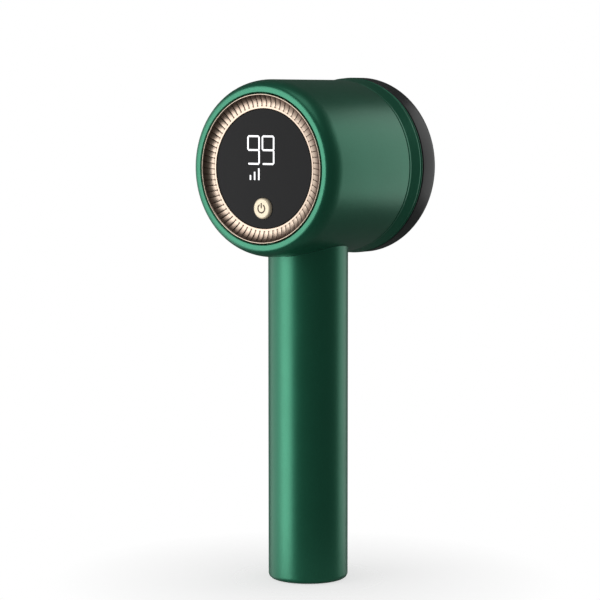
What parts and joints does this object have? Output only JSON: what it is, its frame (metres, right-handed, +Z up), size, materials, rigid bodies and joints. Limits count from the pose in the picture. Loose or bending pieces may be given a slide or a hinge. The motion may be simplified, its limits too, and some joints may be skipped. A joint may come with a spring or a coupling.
{
  "type": "cordless fabric shaver",
  "caption": "Cordless fabric shaver: a barrel head across an upright round handle, with a ribbed display ring at the front and a screw-ringed shaving foil at the back.",
  "frame": {"origin": "centre of the handle's flat foot, on the handle's axis", "axes": "+Z up the handle; the head's axis runs along Y, with the display facing -Y and the cutter facing +Y; +X is to the right when looking along +Y"},
  "size_m": [0.0762, 0.08, 0.215],
  "materials": {
    "green_shell": "satin metallic green paint",
    "rose_gold": "bright rose-gold anodised",
    "cream_gold": "satin cream-gold metallic",
    "smoked_window": "smoked, polished",
    "milky_plastic": "translucent white",
    "black_plastic": "fine matte",
    "white_plastic": "matte white",
    "steel": "plain",
    "sintered_brass": "plain",
    "copper": "copper colour",
    "ferrite": "dull grey",
    "laminate": "green solder mask",
    "felt": "undyed felt",
    "cell_can": "blue film over the cell",
    "red_insulation": "plain",
    "black_insulation": "plain",
    "white_insulation": "plain"
  },
  "bodies": {
    "casing": {"head_shell": "green_shell", "decor_ring": "rose_gold", "display_lens": "smoked_window", "light_guide": "milky_plastic", "led_reflector": "white_plastic", "display_board": "laminate", "tact_switch": "black_plastic", "rear_collar": "green_shell", "chamber_bulkhead": "black_plastic", "shaft_seal": "felt", "motor_can": "steel", "motor_end_cap": "black_plastic", "motor_terminal_negative": "copper", "motor_terminal_positive": "copper", "motor_bush_front": "sintered_brass", "motor_bush_rear": "sintered_brass", "motor_magnet_lower": "ferrite", "motor_magnet_upper": "ferrite", "handle_tube": "green_shell", "handle_end_cap": "black_plastic", "charging_socket": "steel", "socket_tongue": "black_plastic", "battery_cell": "cell_can", "battery_cradle": "black_plastic", "battery_tab_negative": "steel", "battery_tab_positive": "steel", "charge_board": "laminate", "charge_inductor": "ferrite", "wire_battery_red": "red_insulation", "wire_battery_black": "black_insulation", "wire_charge_white": "white_insulation", "wire_motor_red": "red_insulation", "wire_motor_black": "black_insulation", "display_screw_1": "steel", "display_screw_2": "steel", "display_screw_3": "steel", "bulkhead_screw_1": "steel", "bulkhead_screw_2": "steel", "bulkhead_screw_3": "steel", "motor_screw_1": "steel", "motor_screw_2": "steel", "neck_screw_1": "steel", "neck_screw_2": "steel", "charge_screw_1": "steel", "charge_screw_2": "steel"},
    "button": {"power_button": "cream_gold", "switch_plunger": "white_plastic"},
    "rotor": {"motor_shaft": "steel", "motor_armature": "copper", "motor_commutator": "copper", "blade_hub": "black_plastic", "cutter_blade": "steel"},
    "foil_carrier": {"foil_frame": "black_plastic", "shaving_foil": "steel"},
    "screw_ring": {"guard_ring": "black_plastic"}
  },
  "joints": [
    {"name": "power_press", "type": "slide", "parent": "casing", "child": "button", "axis": [0, 1, 0], "range_m": [0, 0.0005], "stiffness_N_per_m": 400, "springref_m": -0.001},
    {"name": "cutter_spin", "type": "hinge", "parent": "casing", "child": "rotor", "pos_m": [0, 0, 0.1769], "axis": [0, 1, 0], "continuous": true},
    {"name": "cover_lift", "type": "slide", "parent": "casing", "child": "foil_carrier", "axis": [0, 1, 0], "range_m": [0, 0.009]},
    {"name": "cover_twist", "type": "hinge", "parent": "foil_carrier", "child": "screw_ring", "pos_m": [0, 0.04, 0.1769], "axis": [0, 1, 0], "range_deg": [0, 270]}
  ],
  "couplings": [
    {"joint": "cover_lift", "follows": "cover_twist", "m_per_rad": 0.0019099}
  ]
}
